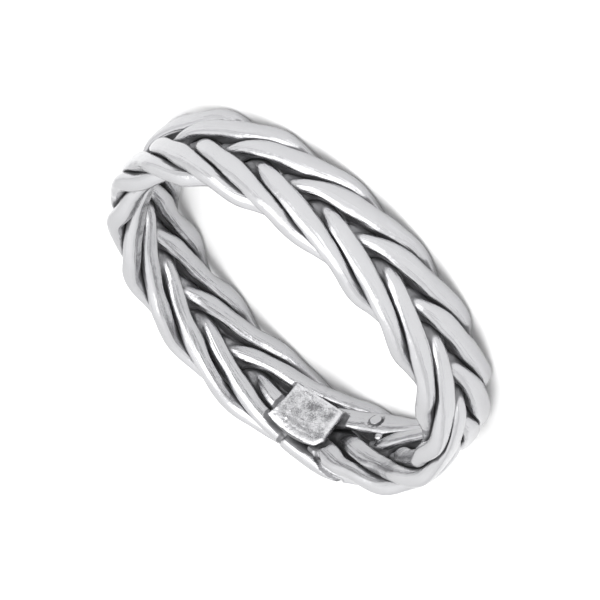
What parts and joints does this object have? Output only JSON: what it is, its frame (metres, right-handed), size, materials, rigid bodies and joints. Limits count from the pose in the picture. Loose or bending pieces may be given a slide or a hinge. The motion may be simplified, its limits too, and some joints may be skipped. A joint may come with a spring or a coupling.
{
  "type": "braided band ring",
  "caption": "Finger ring made of a flat braid of round silver wires bent into a band, with a small plate over the joint inside.",
  "frame": {"origin": "on the ring's axis, at the height of its lower rim: the ring lies on its side on a surface at z = 0", "axes": "+Z along the ring's axis, out of the surface it lies on; the joint and its plate are 116 degrees round from +X towards +Y"},
  "size_m": [0.0222, 0.0222, 0.0046],
  "materials": {
    "silver_wire": "polished silver, darkened by oxidation in the recesses of the braid",
    "silver_plate": "polished silver with fine pits and scratches"
  },
  "bodies": {
    "root": {"strand_1": "silver_wire", "strand_2": "silver_wire", "strand_3": "silver_wire", "strand_4": "silver_wire", "strand_5": "silver_wire", "strand_6": "silver_wire", "strand_7": "silver_wire", "joint_plate": "silver_plate"}
  },
  "joints": []
}
